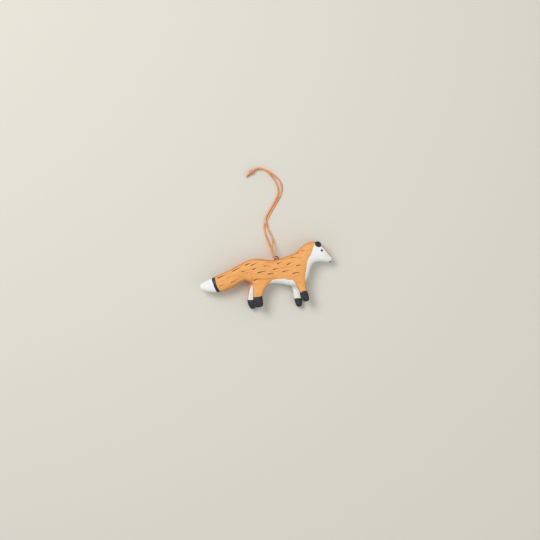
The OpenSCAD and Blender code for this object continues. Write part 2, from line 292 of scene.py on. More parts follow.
# %% [markdown]
# ## The carving as one block
#
# The real fox is a single piece of wood, so its legs, tail and head flow into each other. The
# construction has them as separate solids that touch. A Boolean union of those would keep a hard
# crease at each join. So we copy the solids, join them, and remesh the lot with small voxels, which
# welds them into one skin. Many light passes of smoothing then round the joins over, as the knife and
# the paint did.

# %% Weld the wooden parts into one skin
TRUNK = ("body", "face", "chest_bib", "belly_panel")
TAIL = ("tail", "tail_band", "tail_tip")
LEGS = [f"{end}_{part}_{side}" for end in ("hind", "front") for side in ("right", "left")
        for part in ("leg", "foot")]
VOXEL = 0.28
SMOOTHING = 36
MERGE = 0.001


def copy_node(node):
    piece = bpy.data.objects.new(node + "_copy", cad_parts[node].data.copy())
    scene.collection.objects.link(piece)
    return piece


carving = join([copy_node(node) for node in (*TRUNK, *TAIL, *LEGS)], "carving")
open_all(carving)
bpy.ops.mesh.remove_doubles(threshold=MERGE * MM)
close()
work(carving, "REMESH", mode="VOXEL", voxel_size=VOXEL * MM)
work(carving, "SMOOTH", factor=0.5, iterations=SMOOTHING)
print("the carving has", len(carving.data.polygons), "faces")

# %% [markdown]
# ## Whittled skin
#
# A knife leaves no perfect surface. Its facets could be cut one by one, but there are hundreds, and
# no two are alike. So two procedural textures push the skin inwards a little: soft clouds for the
# uneven thickness, and stretched cells for the shallow facets. Both only cut, so the fox never grows
# past its construction. The textures read the place of an empty that is stretched along the body,
# because cuts run with the grain.

# %% Push the skin in along stretched textures
UNEVEN = 0.22
FACET = 0.26


def cut_in(piece, kind, depth, size, stretch, turn, **settings):
    """Pushes the skin in by a pattern that is drawn out, by stretch, along a line turned from X."""
    texture = bpy.data.textures.new(kind.lower(), kind)
    for name, value in settings.items():
        setattr(texture, name, value)
    texture.noise_scale = 1.0
    guide = bpy.data.objects.new("guide", None)
    guide.scale = [s * size * MM for s in (stretch, 1, 1)]
    guide.rotation_euler = (0, 0, math.radians(turn))
    scene.collection.objects.link(guide)
    bpy.context.view_layer.update()
    work(piece, "DISPLACE", texture=texture, texture_coords="OBJECT", texture_coords_object=guide,
         strength=depth * MM, mid_level=1.0)
    bpy.data.objects.remove(guide)


cut_in(carving, "CLOUDS", UNEVEN, size=7.0, stretch=1.6, turn=12, noise_depth=1)
cut_in(carving, "VORONOI", FACET, size=4.5, stretch=2.4, turn=14, distance_metric="DISTANCE")
print("the carving measures", [round(v / MM, 1) for v in carving.dimensions], "mm")

# %% [markdown]
# ## Gouge cuts
#
# Short tapered cuts run along the coat. Each starts blunt and deep at its rear end, fades out
# towards the head and is rubbed with brown. A cut is a row in a list: where its middle is, how long
# it is, which way it points and how dark its paint is. They are real hollows. A bump in the material
# alone would leave the mesh smooth, and a Boolean for each cut would leave long thin faces. So the
# skin is divided finer round each cut, and its points are moved in by the cut's own profile.

# %% Where the cuts are
# [x, y, length, degrees above the +X axis, darkness], in millimetres, as seen on the right flank.
CUTS = [
    [-40.5, -1.4, 7.1, 22, 0.8], [-32.4, -1.4, 6.7, 25, 0.3], [-24.0, -0.5, 3.1, 25, 0.3],
    [-25.9, 5.5, 10.1, 25, 0.5], [-28.7, -5.6, 6.9, 28, 0.45], [-39.3, -9.1, 5.2, 15, 0.4],
    [-15.7, 10.1, 7.1, 20, 0.7], [-10.6, 9.9, 7.1, 27, 0.6], [-19.4, 3.4, 5.2, 8, 0.45],
    [-10.2, 5.8, 4.5, 28, 0.85], [-3.7, 2.9, 8.2, 10, 1.0], [-7.9, -3.8, 6.9, 18, 0.5],
    [0.0, 8.3, 4.3, 3, 0.35], [4.4, 1.2, 6.3, 6, 0.85], [9.3, 5.7, 6.2, 12, 0.5],
    [12.2, 11.0, 4.7, 15, 0.6], [18.1, 3.8, 6.7, 12, 0.55], [21.0, 10.4, 4.7, 28, 0.75],
    [27.5, 2.1, 7.8, 8, 0.8], [30.0, 9.0, 6.0, 6, 0.55], [24.9, 15.9, 6.3, 8, 0.5],
    [31.3, 16.1, 5.0, 15, 0.3], [29.1, 19.9, 4.3, 5, 0.35], [35.0, 22.3, 7.1, 2, 0.3],
]

# The palest cut would be PALE_CUT as deep as the darkest. A cut is widest BLUNT_END of the way along
# it, and a larger FADE thins it out sooner towards its far end.
CUT_DEPTH = 0.34
PALE_CUT = 0.6
CUT_HALF_WIDTH = 0.5
CUT_BOW = 0.18
BLUNT_END = 0.15
FADE = 0.45
NARROWEST = 0.001


def cuts_of_flank(side):
    """The cuts of one flank: the left one has its own, like the right one's but never the same."""
    if side > 0:
        return CUTS
    own = []
    for x, y, long, turn, dark in CUTS:
        own.append([x + chance.uniform(-2, 2), y + chance.uniform(-0.8, 0.8),
                    long * chance.uniform(0.8, 1.15), turn + chance.uniform(-6, 6),
                    dark * chance.uniform(0.75, 1.1)])
    return own


def on_cut(points, cut):
    """How far each point is along a cut and across it, in millimetres from the cut's middle."""
    x, y, _, turn, _ = cut
    c, s = math.cos(math.radians(turn)), math.sin(math.radians(turn))
    right, up = points[:, 0] - x, points[:, 1] - y
    return right * c + up * s, up * c - right * s


def cut_profile(points, cut):
    """The depth of the hollow at each point, how far along the cut it is, both from 0 to 1, and
    how many millimetres it is inside the cut's edge."""
    long = cut[2]
    along, across = on_cut(points, cut)
    along = along / long + 0.5
    across = across - CUT_BOW * (1 - (2 * along - 1)**2)
    inside = (along > 0) & (along < 1)
    t = np.clip(along, 0, 1)
    taper = np.sqrt(np.clip(t / BLUNT_END, 0, 1)) * (1 - t)**FADE
    width = CUT_HALF_WIDTH * np.maximum(taper, NARROWEST)
    hollow = np.clip(1 - (across / width)**2, 0, 1) * taper
    within = np.minimum(width - np.abs(across), np.minimum(along, 1 - along) * long)
    return np.where(inside, hollow, 0), t, within


FLANKS = {side: cuts_of_flank(side) for side in (1, -1)}
print(len(CUTS), "cuts on each flank")

# %% Divide the skin finer round each cut
MARGIN = 0.3
FLANK_FACING = 0.2


def near_a_cut(points, normals):
    """Which points lie on a cut, or within a margin of one."""
    near = np.zeros(len(points), bool)
    for side, cuts in FLANKS.items():
        flank = normals[:, 2] * side > FLANK_FACING
        for cut in cuts:
            along, across = on_cut(points, cut)
            beyond = np.abs(along) - cut[2] / 2
            aside = np.abs(across - CUT_BOW / 2)
            near |= flank & (beyond < MARGIN) & (aside < CUT_HALF_WIDTH + MARGIN)
    return near


def faces_of(piece):
    """The middles of a piece's faces, in millimetres, and their normals."""
    found = {}
    for key in ("center", "normal"):
        found[key] = np.zeros(len(piece.data.polygons) * 3)
        piece.data.polygons.foreach_get(key, found[key])
    return found["center"].reshape(-1, 3) / MM, found["normal"].reshape(-1, 3)


def select_faces(piece, chosen):
    """Picks a piece, and of its faces only the chosen ones."""
    pick(piece)
    bpy.context.tool_settings.mesh_select_mode = (False, False, True)
    for part in (piece.data.vertices, piece.data.edges):
        part.foreach_set("select", np.zeros(len(part), bool))
    piece.data.polygons.foreach_set("select", chosen)


near = near_a_cut(*faces_of(carving))
select_faces(carving, near)
bpy.ops.object.mode_set(mode="EDIT")
bpy.ops.mesh.subdivide(number_cuts=1, smoothness=0)
close()
print("divided", int(near.sum()), "faces")

# %% Cut the hollows
FLANK_FULL = 0.3

points, normals = points_of(carving), normals_of(carving)
skin = points.copy()
for side, cuts in FLANKS.items():
    flank = np.clip(normals[:, 2] * side / FLANK_FULL, 0, 1)
    for cut in cuts:
        hollow, _, _ = cut_profile(points, cut)
        share = PALE_CUT + (1 - PALE_CUT) * cut[4]
        points = points - normals * (hollow * flank * CUT_DEPTH * share)[:, None]
print(f"the deepest cut is {np.linalg.norm(points - skin, axis=1).max():.2f} mm")
place_points(carving, points)

# %% [markdown]
# ## Parting the block at its paint lines
#
# The block is one skin, but a fox is easier to paint, to export and to take apart as named pieces.
# Colours could be told apart by masks alone, but then the paint's edge would follow the faces. So each
# paint line is a few listed points in the x, y plane, smoothed into a curve that wavers a little,
# as a brush does. A wall that stands on the curve becomes a cutter, and a Boolean with the Manifold
# solver parts the block along it. Both halves keep the same edge, so no gap shows. The tail's root and
# the tops of the legs are parted too, by lines that don't waver, as no paint ends there.

# %% Paint lines
FAR = 150
WHITE_FRONT = [
    [47.6, 36.0], [44.8, 29.9], [42.9, 25.6], [41.1, 20.0], [38.4, 14.9], [37.2, 11.0],
    [36.5, 5.8], [35.7, 1.2], [35.4, -2.4], [35.8, -5.6], [36.6, -16.0]
]
WHITE_BELLY = [
    [-3.0, -16.0], [2.6, -7.8], [5.4, -4.8], [8.8, -3.6], [15.0, -3.2], [21.0, -4.2],
    [25.0, -5.2], [30.6, -16.0]
]
LEG_TOPS = [
    [-30.0, -3.0], [-18.4, -5.6], [-13.0, -7.9], [-7.0, -8.9], [0.0, -8.7], [7.5, -8.4],
    [14.5, -8.9], [20.5, -10.0], [27.0, -10.6], [32.4, -9.2], [36.6, -6.4], [45.0, -2.0]
]
TAIL_ROOT = [[-21.6, 24.0], [-20.0, 12.1], [-18.3, -4.6], [-19.5, -9.0], [-19.5, -40.0]]
BAND_FRONT = [
    [-46.4, 5.0], [-46.3, -1.0], [-45.5, -5.0], [-44.1, -9.6], [-41.9, -14.0], [-39.8, -18.0]
]
BAND_REAR = [
    [-48.9, 5.0], [-48.9, -2.4], [-48.2, -6.2], [-46.7, -10.4], [-44.4, -14.8], [-42.4, -18.0]
]
THROAT = [[FAR, 11.4], [0.0, 11.4]]
ANKLES = {
    "hind_right": [[-20.0, -19.2], [-12.2, -19.3], [-9.6, -19.6], [-6.4, -19.2], [-3.0, -18.6],
                   [5.0, -18.4]],
    "hind_left": [[-24.0, -22.7], [-17.2, -22.5], [-12.5, -22.2], [-8.0, -21.8], [0.0, -21.4]],
    "front_right": [[24.0, -17.0], [30.0, -15.9], [32.8, -14.5], [35.2, -13.9], [37.6, -14.1],
                    [44.0, -15.0]],
    "front_left": [[18.0, -21.6], [25.2, -21.2], [29.0, -20.7], [33.0, -20.5], [40.0, -20.4]],
}
LINE_STEPS = 10
WAVER = 0.1
LONG_WAVE, SHORT_WAVE = 1.1, 2.7


def brush_line(points, wave=WAVER):
    """A smooth line through the points that wavers by about wave millimetres."""
    line = smooth_curve(points, LINE_STEPS)
    for i in range(1, len(line) - 1):
        run = line[i + 1] - line[i - 1]
        side = np.array([-run[1], run[0]]) / np.linalg.norm(run)
        at = line[i].sum()
        line[i] += side * wave * (math.sin(at * LONG_WAVE) + 0.6 * math.sin(at * SHORT_WAVE + 1))
    return line


# %% A wall on a line becomes a cutter
WALL_LOW, WALL_HIGH = -10, 30


def cutter(line, corners):
    """A wall on a line, closed by corners that lie well outside the fox."""
    outline = [*[tuple(p) for p in line], *corners]
    base = [(x * MM, y * MM, WALL_LOW * MM) for x, y in outline]
    mesh = bpy.data.meshes.new("cutter")
    mesh.from_pydata(base, [], [list(range(len(base)))])
    piece = bpy.data.objects.new("cutter", mesh)
    scene.collection.objects.link(piece)
    open_all(piece)
    rise = (0, 0, (WALL_HIGH - WALL_LOW) * MM)
    bpy.ops.mesh.extrude_region_move(TRANSFORM_OT_translate={"value": rise})
    bpy.ops.mesh.select_all(action="SELECT")
    bpy.ops.mesh.normals_make_consistent(inside=False)
    close()
    return piece


def level_with(line, x):
    """Two corners at x, level with a line's ends."""
    return [(x, line[-1][1]), (x, line[0][1])]


def part_off(block, line, corners, name):
    """Parts what lies on the corners' side of a line off from the block, as a new piece."""
    wall = cutter(line, corners)
    piece = bpy.data.objects.new(name, block.data.copy())
    scene.collection.objects.link(piece)
    work(piece, "BOOLEAN", operation="INTERSECT", object=wall, solver="MANIFOLD")
    work(block, "BOOLEAN", operation="DIFFERENCE", object=wall, solver="MANIFOLD")
    bpy.data.objects.remove(wall)
    return piece


# %% Tail, legs and trunk
BELOW_LEGS = [(60, -60), (-30, -60)]
BELOW_FEET = [(60, -60), (-60, -60)]
ABOVE_THROAT = [(0, 60), (FAR, 60)]
WAIST_X = 10


def loose_parts(block):
    """Separates a block into its loose parts."""
    open_all(block)
    bpy.ops.mesh.separate(type="LOOSE")
    close()
    return list(bpy.context.selected_objects)


pieces = {}
block = carving
for name, line, wave in (("tail", TAIL_ROOT, 0), ("tail_tip", BAND_REAR, WAVER),
                         ("tail_band", BAND_FRONT, WAVER)):
    pieces[name] = part_off(block, brush_line(line, wave), level_with(line, -FAR), name)
    block = pieces["tail"]

legs = part_off(carving, brush_line(LEG_TOPS, 0), BELOW_LEGS, "legs")
for leg in loose_parts(legs):
    centre = points_of(leg).mean(axis=0)
    name = ("hind" if centre[0] < WAIST_X else "front") + ("_right" if centre[2] > MID_Z else "_left")
    foot = part_off(leg, brush_line(ANKLES[name]), BELOW_FEET, "foot")
    pieces[name.replace("_", "_leg_")] = leg
    pieces[name.replace("_", "_foot_")] = foot

front = part_off(carving, brush_line(WHITE_FRONT), level_with(WHITE_FRONT, FAR), "chest_bib")
pieces["face"] = part_off(front, THROAT, ABOVE_THROAT, "face")
pieces["chest_bib"] = front
pieces["belly_panel"] = part_off(carving, brush_line(WHITE_BELLY), [], "belly_panel")
pieces["body"] = carving
for name, piece in sorted(pieces.items()):
    print(f"{name}: {len(piece.data.polygons)} faces")

# %% [markdown]
# ## Fields for the paint
#
# A material can only know what its mesh tells it. So each wooden piece carries a few fields, worked
# out from the place of its points: the run of the grain along the fox's spine, how far a point is
# inside a gouge cut and how dark that cut is, how much painted shade the orange gets where the skin
# wraps round a side or lies in the crease between tail and thigh, and how far the point is inside a
# painted patch. A field that is a distance stays sharp when it is cut off at zero, however large the
# faces are.

# %% Places along a line
SPINE = [
    [-62, -12], [-46, -8.5], [-30, -2], [-18, 3.5], [0, 3.5], [15, 4], [26, 7], [35, 14],
    [44, 23], [60, 30]
]

# FOLD is a crease between the tail and the thigh; within about FOLD_WIDTH to each side of it the orange
# gets painted shade. The paint in a cut loses INK_FADE of its darkness towards the thin end.
FOLD = [[-13.6, -6.5], [-12.9, -3.0], [-13.2, 0.5], [-14.6, 3.5]]
FOLD_SHADE = 0.45
FOLD_WIDTH = 2.0
INK_FADE = 0.5


def place_on_line(points, line):
    """How far along a line each point is, and how far to its left, in millimetres."""
    starts, ends = line[:-1], line[1:]
    run = ends - starts
    long = np.linalg.norm(run, axis=1)
    before = np.concatenate([[0], np.cumsum(long)])[:-1]
    best = np.full(len(points), np.inf)
    along, left = np.zeros(len(points)), np.zeros(len(points))
    for k in range(len(starts)):
        away = points[:, :2] - starts[k]
        t = np.clip(away @ run[k] / long[k]**2, 0, 1)
        gap = away - t[:, None] * run[k]
        dist = np.linalg.norm(gap, axis=1)
        closer = dist < best
        best = np.where(closer, dist, best)
        along = np.where(closer, before[k] + t * long[k], along)
        side = run[k][0] * away[:, 1] - run[k][1] * away[:, 0]
        left = np.where(closer, np.sign(side) * dist, left)
    return along, left


# %% Grain, ink and edges
def grain_of(points):
    """Millimetres along the spine, to its left and up."""
    along, left = place_on_line(points, smooth_curve(SPINE, steps=6))
    return np.column_stack([along, left, points[:, 2]])


def ink_of(points, normals):
    """How far each point is inside its nearest gouge cut, and how dark the wash of that cut is there."""
    within, dark = np.full(len(points), -1.0), np.zeros(len(points))
    for side, cuts in FLANKS.items():
        flank = normals[:, 2] * side > FLANK_FACING
        for cut in cuts:
            _, t, inside = cut_profile(points, cut)
            nearer = flank & (inside > within)
            within = np.where(nearer, inside, within)
            dark = np.where(nearer, cut[4] * (1 - INK_FADE * t), dark)
    return within, dark


def edge_shade_of(points, normals):
    """How much painted shade the orange gets: more where the skin turns from the flank, and along the
    crease between the tail and the thigh.
    """
    _, left = place_on_line(points, smooth_curve(FOLD, steps=4))
    # Painted shade along the crease between the tail and the thigh.
    fold_shade = FOLD_SHADE * np.exp(-(left / FOLD_WIDTH)**2)
    return np.maximum(1 - np.abs(normals[:, 2]), fold_shade)


for piece in pieces.values():
    points, normals = points_of(piece), normals_of(piece)
    give_field(piece, "grain", grain_of(points))
    within, dark = ink_of(points, normals)
    give_field(piece, "in_cut", within)
    give_field(piece, "ink", dark)
    # The edge field is painted shade: the orange paint turns darker with it.
    give_field(piece, "edge", edge_shade_of(points, normals))
print("gave", len(pieces), "pieces their grain, ink and edges")

# %% [markdown]
# White paint covers more than the pieces that are white all over. It runs on between the legs of each
# pair and down their inner faces, and on the cheeks it leaves an orange ridge down the forehead. Where
# the white of the belly or the bib meets the white of the legs, its corner is rounded, as a brush does.

# %% White and orange patches on one piece
FOREHEAD = [
    [42.0, 33.0], [44.4, 30.9], [48.5, 29.2], [51.8, 26.1], [54.8, 22.8], [57.2, 20.0],
    [58.6, 18.1], [62.0, 16.4]
]

# The white reaches WHITE_HALF_DEPTH to each side of the middle plane, and stays below COAT_LOW_Y.
RIDGE_WIDTH = 1.1
WHITE_HALF_DEPTH = 4.2
CORNER = 1.25
COAT_LOW_Y = -1
BELLY_EDGES = {
    "right": [[2.0, -8.7], *WHITE_BELLY[2:7], [27.4, -10.2]],
    "left": [[2.0, -8.7], *WHITE_BELLY[2:5], [19.6, -4.2], [22.2, -6.4], [23.6, -10.5]],
}
BIB_EDGE = [*WHITE_FRONT[8:10], [36.2, -6.6]]
HIND_REAR_EDGE = [
    [-8.6, -1.0], [-10.4, -5.0], [-12.2, -8.6], [-14.2, -12.0], [-15.6, -17.4], [-16.5, -23.4]
]


def round_union(first, second):
    """Two fields made one, with a round corner where their edges meet."""
    return CORNER * np.logaddexp(first / CORNER, second / CORNER)


def off_edge(points, edge):
    """How far each point is to the left of an edge."""
    return place_on_line(points, np.array(edge, float))[1]


def white_between_legs(points):
    """How far each point is inside the white of the inner faces, with round corners at the edges."""
    field = WHITE_HALF_DEPTH - np.abs(points[:, 2] - MID_Z)
    right, left = (np.abs(off_edge(points, edge)) for edge in BELLY_EDGES.values())
    belly = np.where(points[:, 2] > MID_Z, right, left)
    return round_union(round_union(field, -belly), -np.abs(off_edge(points, BIB_EDGE)))


def patch_of(name, points):
    """How far inside its second colour each point is, in millimetres."""
    if name == "face":
        _, left = place_on_line(points, smooth_curve(FOREHEAD, steps=8))
        return left + RIDGE_WIDTH
    if name in ("body", "hind_leg_left"):
        # The white stops below the flank and short of the rump.
        before_rump = off_edge(points, smooth_curve(HIND_REAR_EDGE, steps=6))
        below_coat = COAT_LOW_Y - points[:, 1]
        return np.minimum(white_between_legs(points), np.minimum(before_rump, below_coat))
    if "leg" in name:
        return white_between_legs(points)
    if name == "belly_panel":
        # The left front leg stands further back, so orange covers this corner of the white.
        belly = -off_edge(points, BELLY_EDGES["left"][3:])
        return -round_union(points[:, 2] - MID_Z + WHITE_HALF_DEPTH, belly)
    return np.full(len(points), -1.0)


for name, piece in pieces.items():
    patch = patch_of(name, points_of(piece))
    give_field(piece, "patch", patch)
    print(f"{name}: {(patch > 0).mean():.0%} of its points are in its second colour")

# %% [markdown]
# ## Writing a finish as maths
#
# A procedural material is a graph of nodes, and most of them are sums. A small class wraps a socket,
# so that a sum in Python adds the Math nodes for it, and one method adds any other node.

# %% Values
class Value:
    """A socket that can be reckoned with."""

    def __init__(self, finish, socket):
        self.finish = finish
        self.socket = socket

    def reckon(self, operation, *values):
        return self.finish.node("ShaderNodeMath", {"operation": operation}, dict(enumerate(values)))

    def __add__(self, other):
        return self.reckon("ADD", self, other)

    def __radd__(self, other):
        return self.reckon("ADD", other, self)

    def __mul__(self, other):
        return self.reckon("MULTIPLY", self, other)

    def __rmul__(self, other):
        return self.reckon("MULTIPLY", other, self)

    def between(self, low, high):
        """0 at low, 1 at high and a smooth change between them."""
        return self.finish.node("ShaderNodeMapRange", {"interpolation_type": "SMOOTHSTEP"},
                                {"Value": self, "From Min": low, "From Max": high})

    def most(self, other):
        return self.reckon("MAXIMUM", self, other)


# %% Finishes
class Finish:
    """A material that is being written."""

    def __init__(self, name, roughness, **constants):
        self.material = bpy.data.materials.new(name)
        self.material.use_nodes = True
        self.tree = self.material.node_tree
        self.shader = self.tree.nodes["Principled BSDF"]
        self.shader.inputs["Roughness"].default_value = roughness
        for socket, value in constants.items():
            self.shader.inputs[socket.replace("_", " ")].default_value = value

    def node(self, kind, settings=None, values=None, out=0):
        made = self.tree.nodes.new(kind)
        for name, value in (settings or {}).items():
            setattr(made, name, value)
        for key, value in (values or {}).items():
            if isinstance(value, Value):
                self.tree.links.new(value.socket, made.inputs[key])
            else:
                made.inputs[key].default_value = value
        return Value(self, made.outputs[out])

    def place(self):
        return self.node("ShaderNodeTexCoord", out="Object")

    def field(self, name, vector=False):
        return self.node("ShaderNodeAttribute", {"attribute_name": name}, out="Vector" if vector else "Fac")

    def noise(self, vector, scale, detail=2.0, rough=0.5):
        return self.node("ShaderNodeTexNoise", values={
            "Vector": vector, "Scale": scale, "Detail": detail, "Roughness": rough})

    def brushed(self, along, across, detail, rough=0.5):
        """Noise drawn out by the grain, along and across being its changes to each millimetre."""
        run = self.node("ShaderNodeMapping", values={
            "Vector": self.field("grain", vector=True), "Scale": (along, across, across)})
        return self.noise(run, 1.0, detail, rough)

    def mix(self, share, first, second):
        return self.node("ShaderNodeMix", {"data_type": "RGBA"}, {0: share, 6: first, 7: second}, out=2)

    def feed(self, socket, value):
        self.tree.links.new(value.socket, self.shader.inputs[socket])

    def bump(self, height, depth):
        """Relief of a height from 0 to 1, depth millimetres deep."""
        relief = {"Strength": 1.0, "Distance": depth * MM, "Height": height}
        self.feed("Normal", self.node("ShaderNodeBump", values=relief, out="Normal"))


def shade(red, green, blue):
    """A colour as a screen shows it, from 0 to 255, as the shader wants it."""
    return (*[((c / 255 + 0.055) / 1.055)**2.4 for c in (red, green, blue)], 1.0)


# %% [markdown]
# ## Paint
#
# All three paints are matt, and one flat colour each would look like plastic. Orange and white were
# brushed on along the grain, so they share a relief of thin streaks that follow the spine, over a
# finer tooth. The orange shows the lines of the wood and has its cuts rubbed with brown, and it is
# painted darker where the skin wraps round an edge and along the crease between the tail and the
# thigh: a painted shade. The white is never quite white. The black was dabbed on, so its relief has
# no run, and it shows bluish wear.

# %% Three paints
ORANGE = shade(237, 170, 97)
# The deeper orange of the brush streaks, also used as painted shade at turned edges and along the crease
# between tail and thigh.
ORANGE_DEEP_AND_SHADE = shade(219, 136, 72)
ORANGE_PALE = shade(243, 188, 122)
CUT_BROWN = shade(76, 34, 28)
WHITE = shade(238, 240, 238)
WHITE_SHADED = shade(216, 220, 222)
BLACK = shade(34, 36, 42)
BLACK_WORN = shade(82, 86, 95)
EDGE = 0.06


def orange_on(finish, streaks):
    """The coat, deeper in the streaks of the brush, with painted shade where it wraps round an edge and
    along the crease between the tail and the thigh.
    """
    blotches = finish.brushed(along=0.12, across=0.25, detail=2.0)
    lines = finish.brushed(along=0.05, across=0.9, detail=1.0)
    # Painted shade: darker orange where the skin turns from the flank and along the crease by the thigh,
    # over random blotches of deeper paint.
    deep = (blotches.between(0.45, 0.8) * 0.3).most(finish.field("edge").between(0.15, 0.75))
    colour = finish.mix(deep, ORANGE, ORANGE_DEEP_AND_SHADE)
    colour = finish.mix(streaks.between(0.5, 0.75) * 0.5, colour, ORANGE_PALE)
    colour = finish.mix(lines.between(0.55, 0.66) * 0.6, colour, ORANGE_DEEP_AND_SHADE)
    return finish.mix(streaks.between(0.48, 0.28) * 0.6, colour, ORANGE_DEEP_AND_SHADE)


def white_on(finish, streaks):
    return finish.mix(streaks.between(0.5, 0.25) * 0.6, WHITE, WHITE_SHADED)


def two_paints(name, patch_is_white):
    """A coat with a patch of the other colour, and brown in the gouge cuts."""
    finish = Finish(name, roughness=0.62, IOR=1.42)
    streaks = finish.brushed(along=0.14, across=1.5, detail=3.0, rough=0.55)
    fine = finish.brushed(along=0.5, across=5.0, detail=2.0)
    orange, white = orange_on(finish, streaks), white_on(finish, streaks)
    inside = finish.field("patch").between(-EDGE, EDGE)
    first, second = (orange, white) if patch_is_white else (white, orange)
    ink = finish.field("in_cut").between(-EDGE, 2 * EDGE) * finish.field("ink").between(0.02, 0.6)
    finish.feed("Base Color", finish.mix(ink, finish.mix(inside, first, second), CUT_BROWN))
    finish.bump(streaks * 0.7 + fine * 0.3, depth=0.12)
    return finish.material


def black_paint():
    finish = Finish("black_paint", roughness=0.5, IOR=1.45)
    mottle = finish.noise(finish.place(), scale=700.0, detail=3.0, rough=0.6)
    finish.feed("Base Color", finish.mix(mottle.between(0.5, 0.8), BLACK, BLACK_WORN))
    finish.bump(mottle, depth=0.12)
    return finish.material


PAINTS = {
    "orange": two_paints("orange_paint", patch_is_white=True),
    "white": two_paints("white_paint", patch_is_white=False),
    "black": black_paint(),
}


def paint_of(name):
    if "foot" in name or name == "tail_band":
        return "black"
    return "white" if name in ("face", "chest_bib", "belly_panel", "tail_tip") else "orange"


def settle(piece, body, node, slot, material, smooth_below=40):
    """Smooths a finished piece, paints it and seats it in place of its node."""
    if piece.type == "MESH":
        pick(piece)
        bpy.ops.object.shade_smooth_by_angle(angle=math.radians(smooth_below))
    piece.data.materials.clear()
    piece.data.materials.append(material)
    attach(piece, body)
    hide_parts(node)


for name, piece in pieces.items():
    paint = paint_of(name)
    piece.name = "carved_" + name
    settle(piece, "fox", name, paint + "_wood", PAINTS[paint])
print("painted", len(pieces), "wooden pieces")

# %% [markdown]
# ## Ears, eyes and nose
#
# An ear is a low black button with a worked rim, set on the side of the head. It could be a flattened
# ball, but the rim needs a profile of its own. So we spin that profile round an axis, squeeze it to an
# oval and tilt it. The eye is a bead in a drilled socket, spun in the same way. The nose is a small
# dark pad across the tip of the muzzle: a ball squeezed to its box and drawn narrower behind.

# %% A profile spun round
SPIN_MERGE = 0.002


def spun(name, profile, steps):
    """A closed shape spun from a profile of [radius, height] in millimetres, with its poles closed."""
    mesh = bpy.data.meshes.new(name)
    edges = [(i, i + 1) for i in range(len(profile) - 1)]
    mesh.from_pydata([(r * MM, 0, h * MM) for r, h in profile], edges, [])
    piece = bpy.data.objects.new(name, mesh)
    scene.collection.objects.link(piece)
    open_all(piece)
    bpy.ops.mesh.spin(steps=steps, angle=math.tau, center=(0, 0, 0), axis=(0, 0, 1))
    bpy.ops.mesh.select_all(action="SELECT")
    bpy.ops.mesh.remove_doubles(threshold=SPIN_MERGE * MM)
    bpy.ops.mesh.normals_make_consistent(inside=False)
    close()
    return piece


def set_on_flank(piece, place, side, shape):
    """Shapes a piece, flips it for the left flank and moves it into place, with its faces outwards."""
    flip = Matrix.Diagonal((1, 1, side, 1))
    piece.data.transform(Matrix.Translation(Vector(place) * MM) @ flip @ shape)
    open_all(piece)
    bpy.ops.mesh.normals_make_consistent(inside=False)
    close()


# %% Ears
# EAR_SKIN is how far the side of the head stands out from the middle plane. The lean, about EAR_AXIS,
# and the turn of the oval are in degrees.
EAR_AT = (47.05, 27.9)
EAR_OVAL = (1.1, 0.96, 1)
EAR_SKIN = 5.39
EAR_LEAN = 24
EAR_TURN = -34
EAR_AXIS = (-0.8, 0.6, 0)
EAR_FOOT = -1.7
EAR_BOW = [[0, 0.72], [0.8, 0.68], [1.5, 0.74], [2.1, 0.98], [2.5, 0.86], [2.74, 0.45],
           [2.8, -0.4], [2.7, EAR_FOOT]]
EAR_PROFILE = [*smooth_curve(EAR_BOW, steps=5), (0, EAR_FOOT)]

lean = Matrix.Rotation(math.radians(EAR_LEAN), 4, Vector(EAR_AXIS))
along = Matrix.Rotation(math.radians(EAR_TURN), 4, "Z")
oval = along @ Matrix.Diagonal((*EAR_OVAL, 1)) @ along.inverted()
for side, name in ((1, "ear_right"), (-1, "ear_left")):
    piece = spun("carved_" + name, EAR_PROFILE, steps=48)
    set_on_flank(piece, (*EAR_AT, MID_Z + side * EAR_SKIN), side, lean @ oval)
    settle(piece, "fox", name, "black_wood", PAINTS["black"])
    print(name, points_of(piece).min(axis=0).round(1), points_of(piece).max(axis=0).round(1))

# %% Eyes
EYE_AT = (50.5, 22.4)
EYE_DOME = 0.45
EYE_FOOT = -1.3
EYE_BOW = [[0, EYE_DOME], [0.38, 0.41], [0.7, 0.24], [0.9, -0.05], [0.9, EYE_FOOT]]
EYE_PROFILE = [*smooth_curve(EYE_BOW, steps=4), (0, EYE_FOOT)]
BEAD_DARK = shade(16, 12, 11)
BEAD_HAZE = shade(34, 27, 24)


def bead_gloss():
    finish = Finish("bead_gloss", roughness=0.16, Coat_Weight=0.4)
    haze = finish.noise(finish.place(), scale=900.0)
    finish.feed("Base Color", finish.mix(haze, BEAD_DARK, BEAD_HAZE))
    finish.bump(haze, depth=0.01)
    return finish.material


BEAD = bead_gloss()
for side, name in ((1, "eye_right"), (-1, "eye_left")):
    low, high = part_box(name)
    top = (high.z if side > 0 else low.z) / MM
    piece = spun("bead_" + name, EYE_PROFILE, steps=32)
    set_on_flank(piece, (*EYE_AT, top - side * EYE_DOME), side, Matrix.Identity(4))
    settle(piece, "fox", name, "black_bead", BEAD)
    print(f"{name} stands {EYE_DOME} mm out, its top at z = {top:.2f} mm")

# %% Nose
# The rearmost NOSE_HEEL of the pad is drawn together, and what lies within NOSE_REACH follows.
NOSE_HEEL = 0.25
NOSE_SQUEEZE = (1, 1, 0.7)
NOSE_REACH = 1.4

nose_low, nose_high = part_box("nose")
nose_middle = (nose_low + nose_high) / 2
bpy.ops.object.select_all(action="DESELECT")
bpy.ops.mesh.primitive_uv_sphere_add(segments=40, ring_count=24, radius=0.5, location=nose_middle)
nose = bpy.context.object
nose.name = "carved_nose"
nose.scale = nose_high - nose_low
bpy.ops.object.transform_apply(location=True, rotation=True, scale=True)

